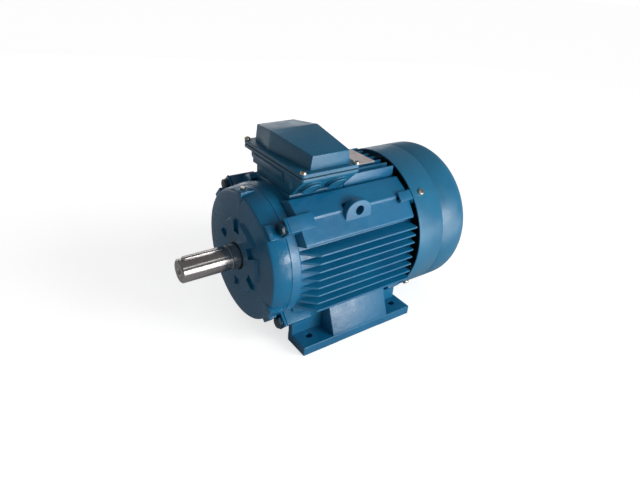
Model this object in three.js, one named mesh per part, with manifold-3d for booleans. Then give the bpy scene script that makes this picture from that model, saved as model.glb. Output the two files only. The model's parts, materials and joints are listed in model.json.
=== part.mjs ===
// A foot-mounted, fan-cooled three-phase electric motor of frame size 132 M.
// Millimetres, +Z up. The shaft lies along X and its drive end points to -X.
// The origin is on the floor, midway between the shaft end and the fan cover.
import * as THREE from 'three';
import { mergeVertices } from 'three/addons/utils/BufferGeometryUtils.js';
import { ConvexGeometry } from 'three/addons/geometries/ConvexGeometry.js';
import Module from 'manifold-3d';

const wasm = await Module();
wasm.setup();

// ---- Driving dimensions -------------------------------------------------
const overallLength = 500;
const shaftHeight = 132;
const gap = 0.3;

const shaftEndX = -overallLength / 2;
const shaftExtension = 80;
const shaftRadius = 19;
const seatRadius = 20;
const shoulderX = shaftEndX + shaftExtension;
const rearX = overallLength / 2;

const frameFrontX = -120;
const frameRearX = 118;
const barrelRadius = 110;
const boreRadius = 101;
const finFrontX = -104;
const finKinkX = -79.5;
const finRearX = 115;
const finHalfWidth = 125;
const finPitch = 14.2;
const finThickness = 4;
const sideFinCount = 8;
const lowestSideFinZ = 74.5;
const topFinPitch = 16;
const topFinTipZ = 256.5;
const bottomFinTipZ = 9;

const footHalfWidth = 131.5;
const footInnerY = 82.7;
const footFrontX = -105.3;
const footRearX = 120.3;
const footThickness = 16.5;
const footHoleRadius = 6;
const webFrontX = -47.5;
const webRearX = 68;
const footHoleY = 108;
const footHoleFrontX = -81;
const footHoleRearX = 97;

const frontBoltRadius = 122;
const rearBoltRadius = 109.5;
const boltAngle = 43;
const shieldLugFrontX = -125;
const lugWidth = 24;
const frontLugRadius = 132;
const frontLugRearX = -75.3;
const rampFrontX = -146;
const rampRadius = 114;
const washerRoom = 7.2;
const rearLugFrontX = 91;
const rearLugRadius = 133;
const rearLugWidth = 17;
const rearLugHoleRadius = 3.6;
const rearLugHoleOut = 127.5;
const frontBolt = { headRadius: 10.4, headDepth: 6.4, shankRadius: 6, endX: -93 };
const rearBolt = { headRadius: 9.2, headDepth: 7, shankRadius: 5, endX: 97 };

const hubFaceX = -154.4;
const shieldFaceX = -149.5;
const hubRadius = 61.5;
const hubCoreRadius = 41.5;
const hubNotchWidth = 17;
const hubNotchCount = 6;
const rimBossRadius = 112.5;
const rimBossWidth = 22;
const rimBossTurns = [90, 210, 330];
const greasePlugX = -141;
const greasePlugY = 2;
const sealRadius = 22.4;

const bearingBoreRadius = 20.3;
const bearingOuterRadius = 40;
const bearingWidth = 18;
const frontBearingX = -137;
const rearBearingX = 117.6;
const ballCount = 9;
const ballRadius = 5.75;
const ballPitchRadius = 30;

const coreHalfLength = 75;
const statorInnerRadius = 65.6;
const statorOuterRadius = 100.6;
const statorSlots = 36;
const rotorRadius = 65;
const rotorBars = 28;

const coverRadius = 131.3;
const coverFrontX = 120.7;
const coverSheet = 2.3;
const coverRounding = 36;
const coverScrewX = 140;
const coverBossRadius = 127.4;
const rearLugRearX = 129;

const boxFrontX = -91;
const boxRearX = 10;
const boxNeckHalfWidth = 50;
const boxFarY = 68.3;
const padTopZ = 243.5;
const boxFlangeFrontX = -92.8;
const boxFlangeRearX = 11.7;
const boxFlangeNearY = -84.3;
const boxFlangeFarY = 91;
const boxFlangeBottomZ = 276;
const boxFlangeTopZ = 281;
const lidGasketTopZ = 282.3;
const lidFlangeTopZ = 288.5;
const lidScrewInset = 4.5;
const entryRadius = 15.6;
const entryCentresX = [-67, -20];
const entryTilt = 45;
const entryY = -68.5;
const entryZ = 261;

// ---- Materials ----------------------------------------------------------
const finish = (color, roughness, metalness) =>
  new THREE.MeshStandardMaterial({ color, roughness, metalness });
const bluePaint = finish(0x2a6288, 0.42, 0.1);
const coverPaint = finish(0x33698c, 0.38, 0.1);
const darkPaint = finish(0x10222e, 0.4, 0.2);
const polishedSteel = finish(0x9a9590, 0.22, 1.0);
const zincSteel = finish(0xc9bd9e, 0.35, 1.0);
const coreSteel = finish(0x5c6064, 0.55, 0.9);
const castAluminium = finish(0xb4b8ba, 0.5, 0.9);
const copperWinding = finish(0x9a4a24, 0.5, 0.4);
const blackRubber = finish(0x161616, 0.85, 0.0);
const blackPlastic = finish(0x1d2226, 0.6, 0.0);
const brass = finish(0xb8923f, 0.35, 1.0);
const plateSilver = finish(0xc9c3c0, 0.35, 0.9);

// ---- Shape helpers ------------------------------------------------------
const radians = THREE.MathUtils.degToRad;
const axisX = new THREE.Vector3(1, 0, 0);
const axisY = new THREE.Vector3(0, 1, 0);
const axisZ = new THREE.Vector3(0, 0, 1);
const backwardY = new THREE.Vector3(0, -1, 0);
const backwardZ = new THREE.Vector3(0, 0, -1);

// Welds a geometry's corners, drops flat triangles and turns its faces outwards.
function weld(source) {
  const bare = source.index ? source.toNonIndexed() : source.clone();
  for (const name of Object.keys(bare.attributes)) {
    if (name !== 'position') bare.deleteAttribute(name);
  }
  const merged = mergeVertices(bare, 1e-4);
  const place = merged.getAttribute('position');
  const corner = (i) => new THREE.Vector3().fromBufferAttribute(place, i);
  const faces = [];
  let volume = 0;
  for (let i = 0; i < merged.index.count; i += 3) {
    const face = [0, 1, 2].map((k) => merged.index.getX(i + k));
    if (new Set(face).size < 3) continue;
    const [a, b, c] = face.map(corner);
    volume += a.dot(b.clone().cross(c));
    faces.push(face);
  }
  const ordered = volume < 0 ? faces.map(([a, b, c]) => [a, c, b]) : faces;
  merged.setIndex(ordered.flat());
  return merged;
}

function toSolid(geometry) {
  const welded = weld(geometry);
  return new wasm.Manifold(new wasm.Mesh({
    numProp: 3,
    vertProperties: new Float32Array(welded.getAttribute('position').array),
    triVerts: new Uint32Array(welded.index.array),
  }));
}

function toGeometry(solid) {
  const mesh = solid.getMesh();
  const geometry = new THREE.BufferGeometry();
  geometry.setAttribute('position', new THREE.BufferAttribute(mesh.vertProperties, 3));
  geometry.setIndex(new THREE.BufferAttribute(mesh.triVerts, 1));
  return geometry;
}

const join = (...pieces) =>
  toGeometry(pieces.map(toSolid).reduce((whole, piece) => whole.add(piece)));
const cut = (body, ...tools) =>
  toGeometry(tools.map(toSolid).reduce((whole, tool) => whole.subtract(tool), toSolid(body)));

function block(x0, x1, y0, y1, z0, z1) {
  const geometry = new THREE.BoxGeometry(x1 - x0, y1 - y0, z1 - z0);
  return geometry.translate((x0 + x1) / 2, (y0 + y1) / 2, (z0 + z1) / 2);
}

function extrude(outline, depth, holes = []) {
  const shape = new THREE.Shape(outline.map(([a, b]) => new THREE.Vector2(a, b)));
  for (const hole of holes) {
    shape.holes.push(new THREE.Path(hole.map(([a, b]) => new THREE.Vector2(a, b))));
  }
  return new THREE.ExtrudeGeometry(shape, { depth, bevelEnabled: false, curveSegments: 1 });
}

// An outline of (y, z) points, extruded from x0 to x1.
function prismX(outline, x0, x1, holes = []) {
  const turn = new THREE.Matrix4().makeBasis(axisY, axisZ, axisX);
  return extrude(outline, x1 - x0, holes).applyMatrix4(turn).translate(x0, 0, 0);
}

// An outline of (x, z) points, extruded from y0 to y1.
function prismY(outline, y0, y1) {
  const turn = new THREE.Matrix4().makeBasis(axisX, axisZ, backwardY);
  return extrude(outline, y1 - y0).applyMatrix4(turn).translate(0, y1, 0);
}

// An outline of (x, y) points, extruded from z0 to z1.
const prismZ = (outline, z0, z1) => extrude(outline, z1 - z0).translate(0, 0, z0);

// A profile of (x, radius) points, turned about the X axis.
function turnedX(profile, segments = 40) {
  const points = profile.map(([x, r]) => new THREE.Vector2(r, x));
  const turn = new THREE.Matrix4().makeBasis(axisY, axisX, backwardZ);
  return new THREE.LatheGeometry(points, segments).applyMatrix4(turn);
}

const ring = (profile, segments) => turnedX([...profile, profile[0]], segments);
const tube = (x0, x1, inner, outer, segments) =>
  ring([[x0, inner], [x0, outer], [x1, outer], [x1, inner]], segments);
const rodX = (x0, x1, radius, segments = 16) =>
  turnedX([[x0, 0], [x0, radius], [x1, radius], [x1, 0]], segments);

function rodZ(x, y, z0, z1, radius, segments = 12) {
  const rod = new THREE.CylinderGeometry(radius, radius, z1 - z0, segments);
  return rod.rotateX(Math.PI / 2).translate(x, y, (z0 + z1) / 2);
}

function rodY(x, z, y0, y1, radius, segments = 20) {
  const rod = new THREE.CylinderGeometry(radius, radius, y1 - y0, segments);
  return rod.translate(x, (y0 + y1) / 2, z);
}

const lift = (geometry) => geometry.translate(0, 0, shaftHeight);
const around = (geometry, degrees) => geometry.clone().rotateX(radians(degrees));
const repeat = (count, make) => Array.from({ length: count }, (_, index) => make(index));
const sides = [-1, 1];

const motor = new THREE.Group();
function add(name, geometry, material) {
  const mesh = new THREE.Mesh(weld(geometry), material);
  mesh.name = name;
  motor.add(mesh);
}

// The four bolt directions, seen along +X: a turn about X from +Y, in degrees.
const boltTurns = [boltAngle, 180 - boltAngle, 180 + boltAngle, 360 - boltAngle];

// ---- Stator frame -------------------------------------------------------
const barrelY = (z) => Math.sqrt(barrelRadius ** 2 - (z - shaftHeight) ** 2);

function sideFin(z, side) {
  const root = 92;
  const outline = [
    [finFrontX, side * root],
    [finFrontX, side * (barrelY(z) - 0.7)],
    [finKinkX, side * finHalfWidth],
    [finRearX, side * finHalfWidth],
    [finRearX, side * root],
  ];
  return prismZ(outline, z - finThickness / 2, z + finThickness / 2);
}

function cornerPanel(side) {
  const outline = [
    [48, 236], [60, 241.5], [83, 227.5], [91, 222.5], [92, 218.5],
    [113, 190.5], [113, 187], [90, 182], [60, 220],
  ];
  const panel = prismX(outline.map(([y, z]) => [side * y, z]), finFrontX, finRearX);
  const noseCut = lift(ring([
    [finFrontX - 1, barrelRadius - 0.8],
    [finKinkX, barrelRadius + 24],
    [finKinkX, 150],
    [finFrontX - 1, 150],
  ]));
  return cut(panel, noseCut);
}

function frameFoot(side) {
  const span = (y0, y1) => [side * y0, side * y1].sort((a, b) => a - b);
  const plate = block(footFrontX, footRearX, ...span(footInnerY, footHalfWidth), 0, footThickness);
  const wall = block(footFrontX, finRearX, ...span(footInnerY, 94), 10, 82);
  const webOutline = [[131, 14], [112, 66], [92, 72], [88, 14]];
  const web = prismX(webOutline.map(([y, z]) => [side * y, z]), webFrontX, webRearX);
  const relief = block(-37, 52, ...span(footInnerY - 1, footHalfWidth + 1), -1, 1.5);
  const holes = [footHoleFrontX, footHoleRearX].map(
    (x) => rodZ(x, side * footHoleY, -1, footThickness + 1, footHoleRadius),
  );
  return cut(join(plate, wall, web), relief, ...holes);
}

function radialBlock(x0, x1, r0, r1, width, degrees) {
  return lift(around(block(x0, x1, r0, r1, -width / 2, width / 2), degrees));
}

function liftingLug(side) {
  const arch = repeat(9, (i) => {
    const angle = radians(180 - i * 22.5);
    return [5 + 25 * Math.cos(angle), 216 + 21 * Math.sin(angle)];
  });
  return prismY([[-20, 200], ...arch, [30, 200]], ...[side * 88, side * 101].sort((a, b) => a - b));
}

// The hole in a lifting lug, with the pocket behind it that a hook needs.
function liftingEye(side) {
  const across = [side * 80, side * 104].sort((a, b) => a - b);
  const pocket = [side * 82, side * 88.3].sort((a, b) => a - b);
  return join(rodY(6, 220, ...across, 8, 16), block(-18, 28, ...pocket, 209, 245));
}

function statorFrame() {
  const barrel = lift(rodX(frameFrontX, frameRearX, barrelRadius, 40));
  const frontRing = lift(rodX(frameFrontX, finFrontX + 0.7, barrelRadius + 2, 40));
  const fins = sides.flatMap((side) =>
    repeat(sideFinCount, (i) => sideFin(lowestSideFinZ + i * finPitch, side)));
  const topFins = repeat(7, (i) => {
    const y = (i - 3) * topFinPitch;
    return block(boxRearX + 1, finRearX, y - 2, y + 2, 225, topFinTipZ);
  });
  const bottomFins = repeat(8, (i) => {
    const y = (i - 3.5) * topFinPitch;
    return block(finFrontX, finRearX, y - 2, y + 2, bottomFinTipZ, 44);
  });
  const boxPad = block(boxFrontX, boxRearX, -boxNeckHalfWidth, boxNeckHalfWidth, 216, padTopZ);
  const frontLugs = boltTurns.map((turn) => radialBlock(
    frameFrontX, frontLugRearX, 100, frontLugRadius, lugWidth, turn,
  ));
  const rearLugs = boltTurns.map((turn) =>
    radialBlock(rearLugFrontX, frameRearX, 98, rearLugRadius, rearLugWidth, turn));
  const whole = join(
    barrel, frontRing, ...fins, ...topFins, ...bottomFins, boxPad, ...frontLugs, ...rearLugs,
    ...sides.map(cornerPanel), ...sides.map(frameFoot), ...sides.map(liftingLug),
  );
  const core = lift(rodX(frameFrontX - 5, frameRearX + 5, boreRadius, 40));
  const cableOpening = block(-60, -20, -25, 25, 200, 260);
  const frontHoles = boltTurns.map((turn) =>
    lift(around(rodX(frameFrontX - 1, -92, 6.3, 8).translate(0, frontBoltRadius, 0), turn)));
  const rearHoles = boltTurns.map((turn) =>
    lift(around(rodX(96, frameRearX + 1, 5.4, 8).translate(0, rearBoltRadius, 0), turn)));
  const lugHoles = boltTurns.map((turn) =>
    lift(around(rodX(rearLugFrontX - 1, 106, rearLugHoleRadius, 8).translate(0, rearLugHoleOut, 0), turn)));
  return cut(whole, core, cableOpening, ...frontHoles, ...rearHoles, ...lugHoles, ...sides.map(liftingEye));
}
add('stator_frame', statorFrame(), bluePaint);

// ---- Endshields and their bolts -----------------------------------------
function driveEndshield() {
  const shell = lift(ring([
    [hubFaceX, sealRadius + gap], [hubFaceX, hubRadius - 2], [shieldFaceX, hubRadius],
    [shieldFaceX, 105.5], [-147, 107.5],
    [frameFrontX - gap, 112], [frameFrontX - gap, boreRadius - gap], [-112, boreRadius - gap],
    [-112, 95], [-141, 92], [-141, 50], [-124, 47],
    [-124, bearingOuterRadius + gap], [-146.3, bearingOuterRadius + gap], [-146.3, 21.5],
    [-147.6, 21.5], [-147.6, sealRadius + gap],
  ]));
  const lugs = boltTurns.map((turn) => radialBlock(
    shieldLugFrontX, frameFrontX - gap, 104, frontLugRadius + 1, lugWidth, turn,
  ));
  const ramps = boltTurns.map((turn) => radialBlock(
    rampFrontX, shieldLugFrontX - washerRoom, 98, rampRadius, lugWidth, turn,
  ));
  const rimBosses = rimBossTurns.map((turn) =>
    radialBlock(shieldFaceX - 1.5, -128, 92, rimBossRadius, rimBossWidth, turn));
  const notches = repeat(hubNotchCount, (i) => radialBlock(
    hubFaceX - 1, shieldFaceX - 0.5, hubCoreRadius, hubRadius + 0.4, hubNotchWidth,
    30 + (i * 360) / hubNotchCount,
  ));
  const holes = boltTurns.map((turn) =>
    lift(around(rodX(shieldLugFrontX - 8, -119, 6.5, 8).translate(0, frontBoltRadius, 0), turn)));
  const plugHole = rodZ(greasePlugX, greasePlugY, 215, 250, 3.6, 12);
  return cut(join(shell, ...lugs, ...ramps, ...rimBosses), ...notches, ...holes, plugHole);
}
add('drive_endshield', driveEndshield(), bluePaint);
const greasePlugSeatZ = shaftHeight + rimBossRadius + gap;
add('drive_grease_plug', join(
  rodZ(greasePlugX, greasePlugY, 230, greasePlugSeatZ + 1, 3.2, 12),
  rodZ(greasePlugX, greasePlugY, greasePlugSeatZ, greasePlugSeatZ + 2.6, 4.6, 6),
), zincSteel);

function rearEndshield() {
  const shell = lift(ring([
    [136, 15.8], [136, 52], [131, 58], [131, 100], [frameRearX + gap, 112],
    [frameRearX + gap, boreRadius - gap], [110, boreRadius - gap], [110, 95],
    [124, 90], [124, 52], [106, 48], [106, bearingOuterRadius + gap],
    [128.3, bearingOuterRadius + gap], [128.3, 15.8],
  ]));
  const lugs = boltTurns.map((turn) => radialBlock(
    frameRearX + gap, rearLugRearX, 104, coverBossRadius, lugWidth, turn,
  ));
  const coverBosses = boltTurns.map((turn) => radialBlock(126, 148, 120.5, coverBossRadius, 16, turn));
  const holes = boltTurns.map((turn) =>
    lift(around(rodX(110, 134, 5.6, 8).translate(0, rearBoltRadius, 0), turn)));
  const screwHoles = boltTurns.map((turn) =>
    lift(around(rodY(coverScrewX, 0, 118, 132, 3.5, 8), turn)));
  return cut(join(shell, ...lugs, ...coverBosses), ...holes, ...screwHoles);
}
add('rear_endshield', rearEndshield(), bluePaint);

// A hexagon bolt whose head sits against seatX and points away from its shank's end.
function hexBolt({ headRadius, headDepth, shankRadius, endX }, seatX) {
  const outX = seatX + Math.sign(seatX - endX) * headDepth;
  const head = rodX(Math.min(seatX, outX), Math.max(seatX, outX), headRadius, 6);
  const shank = rodX(Math.min(seatX, endX), Math.max(seatX, endX), shankRadius, 8);
  return join(head, shank);
}
boltTurns.forEach((turn, index) => {
  const front = hexBolt(frontBolt, shieldLugFrontX - gap).translate(0, frontBoltRadius, 0);
  const rear = hexBolt(rearBolt, rearLugRearX + gap).translate(0, rearBoltRadius, 0);
  add(`drive_endshield_bolt_${index + 1}`, lift(around(front, turn)), darkPaint);
  add(`rear_endshield_bolt_${index + 1}`, lift(around(rear, turn)), darkPaint);
});

// ---- Shaft --------------------------------------------------------------
const keyLength = 70;
const keyWidth = 10;
const keyDepth = 5;
const keyHeight = 8;
const keyInnerX = shoulderX - 5;

function shaft() {
  const body = lift(turnedX([
    [shaftEndX, 0], [shaftEndX, shaftRadius - 1.5], [shaftEndX + 1.5, shaftRadius],
    [shoulderX, shaftRadius], [shoulderX, seatRadius], [-127.7, seatRadius], [-127.7, 25.5],
    [108.3, 25.5], [108.3, seatRadius], [128, seatRadius], [128, 15], [204, 15], [204, 0],
  ], 36));
  const centreHole = lift(turnedX([
    [shaftEndX - 0.5, 0], [shaftEndX - 0.5, 6.5], [shaftEndX + 6, 4.2], [shaftEndX + 24, 0],
  ], 16));
  const keyway = block(keyInnerX - keyLength, keyInnerX, -keyWidth / 2, keyWidth / 2,
    shaftHeight + shaftRadius - keyDepth, shaftHeight + shaftRadius + 5);
  return cut(body, centreHole, keyway);
}
add('shaft', shaft(), polishedSteel);
add('shaft_key', block(
  keyInnerX - keyLength + gap, keyInnerX - gap, -keyWidth / 2 + gap, keyWidth / 2 - gap,
  shaftHeight + shaftRadius - keyDepth + gap, shaftHeight + shaftRadius - keyDepth + keyHeight,
), polishedSteel);
add('shaft_seal', lift(tube(-153.9, -148, seatRadius + gap, sealRadius, 24)), blackRubber);

// ---- Bearings -----------------------------------------------------------
const grooveRadius = 6.3;
function groove(centreX, sign) {
  return repeat(4, (i) => {
    const angle = radians(-60 + i * 40);
    return [
      centreX + sign * grooveRadius * Math.sin(angle),
      ballPitchRadius + sign * grooveRadius * Math.cos(angle),
    ];
  });
}

function bearing(prefix, centreX) {
  const x0 = centreX - bearingWidth / 2;
  const x1 = centreX + bearingWidth / 2;
  const outer = ring([
    [x1, 33.15], [x1, bearingOuterRadius], [x0, bearingOuterRadius], [x0, 33.15], ...groove(centreX, 1),
  ], 28);
  const inner = ring([
    [x0, 26.85], [x0, bearingBoreRadius], [x1, bearingBoreRadius], [x1, 26.85],
    ...groove(centreX, -1),
  ], 28);
  const cage = tube(centreX - 7, centreX + 7, 28.8, 31.2, 18);
  const balls = repeat(ballCount, (i) => {
    const ball = new THREE.SphereGeometry(ballRadius, 6, 4).translate(centreX, ballPitchRadius, 0);
    return around(ball, (i * 360) / ballCount);
  });
  add(`${prefix}_bearing_outer_ring`, lift(outer), polishedSteel);
  add(`${prefix}_bearing_inner_ring`, lift(inner), polishedSteel);
  add(`${prefix}_bearing_balls`, lift(join(cage, ...balls)), polishedSteel);
}
bearing('drive', frontBearingX);
bearing('rear', rearBearingX);
add('bearing_retaining_ring', lift(tube(-127.7, -126, 34, bearingOuterRadius, 24)), coreSteel);
add('bearing_preload_washer', lift(tube(126.9, 128, 33, bearingOuterRadius - 0.2, 24)), coreSteel);

// ---- Stator core, winding and rotor -------------------------------------
function circle(radius, count) {
  return repeat(count, (i) => {
    const angle = (i / count) * 2 * Math.PI;
    return [radius * Math.cos(angle), radius * Math.sin(angle)];
  });
}

// A round outline of the given radius with straight slots cut to another radius.
function slotted(radius, slotRadius, width, count) {
  return repeat(count, (i) => {
    const turn = (i / count) * 2 * Math.PI;
    const corner = (r, side) => {
      const angle = turn + side * Math.asin(width / 2 / r);
      return [r * Math.cos(angle), r * Math.sin(angle)];
    };
    return [corner(radius, -1), corner(slotRadius, -1), corner(slotRadius, 1), corner(radius, 1)];
  }).flat();
}

add('stator_core', lift(prismX(circle(statorOuterRadius, 40), -coreHalfLength, coreHalfLength,
  [slotted(statorInnerRadius, 88, 6, statorSlots)])), coreSteel);

function statorWinding() {
  const bars = repeat(statorSlots, (i) =>
    around(block(-coreHalfLength - 6, coreHalfLength + 6, 70, 87, -2.6, 2.6), (i * 360) / statorSlots));
  const overhang = (sign) => ring([
    [sign * (coreHalfLength + 4), 69], [sign * (coreHalfLength + 4), 90],
    [sign * (coreHalfLength + 27), 95], [sign * (coreHalfLength + 27), 73],
  ], 36);
  return lift(join(overhang(-1), overhang(1), ...bars));
}
add('stator_winding', statorWinding(), copperWinding);

add('rotor_core', lift(prismX(slotted(rotorRadius, 57, 5, rotorBars), -coreHalfLength, coreHalfLength,
  [circle(26 + gap, 48)])), coreSteel);

function rotorCage() {
  const bars = repeat(rotorBars, (i) =>
    around(block(-coreHalfLength - 4, coreHalfLength + 4, 57.4, 64.3, -2, 2), (i * 360) / rotorBars));
  const endRing = (sign) => tube(
    ...[sign * (coreHalfLength + gap), sign * (coreHalfLength + 13)].sort((a, b) => a - b), 42, 64.9, 28);
  return lift(join(endRing(-1), endRing(1), ...bars));
}
add('rotor_cage', rotorCage(), castAluminium);

// ---- Cooling fan and fan cover ------------------------------------------
const fanBladeCount = 8;
function coolingFan() {
  const hub = tube(156, 192, 15 + gap, 24, 24);
  const disc = ring([[157, 22], [162, 108], [165, 108], [160.5, 22]], 32);
  const blade = prismZ([[159, 20], [163.5, 107], [196, 107], [196, 62], [184, 20]], -1.6, 1.6);
  const blades = repeat(fanBladeCount, (i) => around(blade, (i * 360) / fanBladeCount));
  return lift(join(hub, disc, ...blades));
}
add('cooling_fan', coolingFan(), blackPlastic);
add('fan_retaining_ring', lift(tube(192.3, 194, 15 + gap, 19.5, 24)), coreSteel);

function fanCover() {
  const roundOver = (radius, steps, reverse) => {
    const points = repeat(steps + 1, (i) => {
      const angle = (i / steps) * (Math.PI / 2);
      return [
        rearX - coverRounding + radius * Math.sin(angle),
        coverRadius - coverRounding + radius * Math.cos(angle),
      ];
    });
    return reverse ? points.reverse() : points;
  };
  const shell = turnedX([
    [coverFrontX, coverRadius - coverSheet], [coverFrontX, coverRadius],
    ...roundOver(coverRounding, 4, false), [rearX, 0],
    [rearX - coverSheet, 0], ...roundOver(coverRounding - coverSheet, 4, true),
    [coverFrontX, coverRadius - coverSheet],
  ]);
  const slotRings = [[30, 38], [46, 54], [62, 70], [78, 86]];
  const sectors = 6;
  const slots = slotRings.flatMap(([inner, outer]) => repeat(sectors, (i) => {
    const half = Math.PI / sectors - 4 / inner;
    const turn = (i / sectors) * 2 * Math.PI;
    const arc = (radius, from, to) => repeat(3, (k) => {
      const angle = turn + from + ((to - from) * k) / 2;
      return [radius * Math.cos(angle), radius * Math.sin(angle)];
    });
    return prismX([...arc(inner, -half, half), ...arc(outer, half, -half)], rearX - 8, rearX + 4);
  }));
  const screwHoles = boltTurns.map((turn) => around(rodY(coverScrewX, 0, 124, 136, 3.6, 8), turn));
  return lift(cut(shell, ...slots, ...screwHoles));
}
add('fan_cover', fanCover(), coverPaint);
boltTurns.forEach((turn, index) => {
  const screw = join(
    rodY(coverScrewX, 0, 121, 133, 3, 8),
    rodY(coverScrewX, 0, coverRadius + gap, 135, 6, 12),
  );
  add(`fan_cover_screw_${index + 1}`, lift(around(screw, turn)), zincSteel);
});

// ---- Terminal box -------------------------------------------------------
const boxWall = 4.5;
const lidScrewXs = [boxFlangeFrontX + lidScrewInset, boxFlangeRearX - lidScrewInset];
const lidScrewYs = [boxFlangeNearY + lidScrewInset, boxFlangeFarY - lidScrewInset];
const lidScrewPlaces = lidScrewYs.flatMap((y) => lidScrewXs.map((x) => [x, y]));
const lidScrewHoles = (z0, z1) => lidScrewPlaces.map(([x, y]) => rodZ(x, y, z0, z1, 3.4, 8));
const boxRim = [boxFrontX + boxWall, boxRearX - boxWall, -70, boxFarY - boxWall];

// A rod square to the sloping near wall, measured inwards from the wall's face.
function entryRod(x, from, to, radius, segments) {
  const rod = rodY(0, 0, from, to, radius, segments);
  return rod.rotateX(radians(entryTilt)).translate(x, entryY, entryZ);
}

function terminalBoxBase() {
  const body = prismX([
    [-82, 278], [-82, 274.5], [-55, 247.5], [-boxNeckHalfWidth, padTopZ + gap],
    [boxNeckHalfWidth, padTopZ + gap], [boxNeckHalfWidth, 262], [66, 264.5], [boxFarY, 267], [boxFarY, 278],
  ], boxFrontX, boxRearX);
  const flange = block(boxFlangeFrontX, boxFlangeRearX, boxFlangeNearY, boxFlangeFarY,
    boxFlangeBottomZ, boxFlangeTopZ);
  const collars = entryCentresX.map((x) => entryRod(x, -2.2, 2, entryRadius + 2, 24));
  const neckHollow = block(boxFrontX + boxWall, boxRearX - boxWall, -boxNeckHalfWidth + boxWall,
    boxNeckHalfWidth - boxWall, padTopZ + 5, boxFlangeTopZ + 1);
  const rimHollow = block(...boxRim, 270, boxFlangeTopZ + 1);
  const cableOpening = block(-60, -20, -25, 25, padTopZ - 1, padTopZ + 6);
  const entries = entryCentresX.map((x) => entryRod(x, -4, 16, entryRadius - 2.2, 20));
  return cut(join(body, flange, ...collars), neckHollow, rimHollow, cableOpening, ...entries,
    ...lidScrewHoles(boxFlangeBottomZ - 1, boxFlangeTopZ + 1));
}
add('terminal_box_base', terminalBoxBase(), bluePaint);

entryCentresX.forEach((x, index) => {
  const flange = entryRod(x, -5.8, -2.2 - gap, entryRadius, 20);
  const thread = entryRod(x, -3, 7, entryRadius - 2.6, 20);
  add(`cable_entry_plug_${index + 1}`, join(flange, thread), bluePaint);
});

add('lid_gasket', cut(
  block(boxFlangeFrontX + 0.5, boxFlangeRearX - 0.5, boxFlangeNearY + 0.5, boxFlangeFarY - 0.5,
    boxFlangeTopZ + gap, lidGasketTopZ),
  block(...boxRim, boxFlangeTopZ - 1, lidGasketTopZ + 1),
  ...lidScrewHoles(boxFlangeTopZ - 1, lidGasketTopZ + 1),
), blackRubber);

// The lid's hood is a low faceted roof: near edge, ridge and far edge, each with
// its distance across, the two ends of its foot, and its height.
const hoodStations = [
  { y: -74, front: -73.1, rear: 0, z: 310 },
  { y: 26, front: -84.9, rear: 10.2, z: 320.5 },
  { y: 77, front: -79.3, rear: -3, z: 315.5 },
];
const hoodLean = 3.4;
function hood(inset, dropped) {
  const points = hoodStations.flatMap(({ y, front, rear, z }) => {
    const along = y - (Math.abs(y) > 50 ? Math.sign(y) * inset : 0);
    return [
      new THREE.Vector3(front + inset, along, lidFlangeTopZ - 2 - dropped),
      new THREE.Vector3(rear - inset, along, lidFlangeTopZ - 2 - dropped),
      new THREE.Vector3(front + inset + hoodLean, along, z - inset),
      new THREE.Vector3(rear - inset - hoodLean, along, z - inset),
    ];
  });
  return new ConvexGeometry(points);
}
function terminalBoxLid() {
  const flange = block(boxFlangeFrontX, boxFlangeRearX, boxFlangeNearY, boxFlangeFarY,
    lidGasketTopZ + gap, lidFlangeTopZ);
  return cut(join(flange, hood(0, 0)), hood(4, 10), ...lidScrewHoles(lidGasketTopZ - 1, lidFlangeTopZ + 1));
}
add('terminal_box_lid', terminalBoxLid(), bluePaint);

lidScrewPlaces.forEach(([x, y], index) => {
  add(`lid_screw_${index + 1}`, join(
    rodZ(x, y, boxFlangeBottomZ + 0.5, lidFlangeTopZ + 1, 3, 8),
    rodZ(x, y, lidFlangeTopZ + gap, lidFlangeTopZ + 4.5, 5.2, 12),
  ), zincSteel);
});

const terminalXs = [-52, -37, -22];
const boardTopZ = 262;
add('terminal_board', join(
  block(-64, -10, -22, 22, boardTopZ - 8, boardTopZ),
  block(-64, -56, -22, 22, padTopZ + 5 + gap, boardTopZ - 4),
  block(-18, -10, -22, 22, padTopZ + 5 + gap, boardTopZ - 4),
), blackPlastic);
sides.forEach((side) => terminalXs.forEach((x, index) => {
  add(`terminal_stud_${side < 0 ? 'low' : 'high'}_${index + 1}`, join(
    rodZ(x, side * 12, boardTopZ + gap, boardTopZ + 16, 2.5, 6),
    rodZ(x, side * 12, boardTopZ + gap, boardTopZ + 2.5, 4.6, 6),
    rodZ(x, side * 12, boardTopZ + 5, boardTopZ + 9, 4.6, 6),
  ), brass);
}));
terminalXs.forEach((x, index) => {
  const strip = block(x - 4, x + 4, -17, 17, boardTopZ + 2.8, boardTopZ + 4.7);
  const holes = sides.map((side) => rodZ(x, side * 12, boardTopZ, boardTopZ + 8, 2.9, 8));
  add(`terminal_link_${index + 1}`, cut(strip, ...holes), brass);
});

// ---- Nameplate ----------------------------------------------------------
const plateZ = topFinTipZ + gap;
const plateFrontX = 30;
const plateRearX = 98;
const plateNearY = -22.5;
const plateFarY = 45;
add('nameplate', block(plateFrontX, plateRearX, plateNearY, plateFarY, plateZ, plateZ + 1), plateSilver);

export default motor;
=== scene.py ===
"""Looks for a foot-mounted, fan-cooled electric motor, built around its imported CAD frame."""
import json
import math

import bmesh
import bpy
from mathutils import Matrix, Vector


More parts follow.
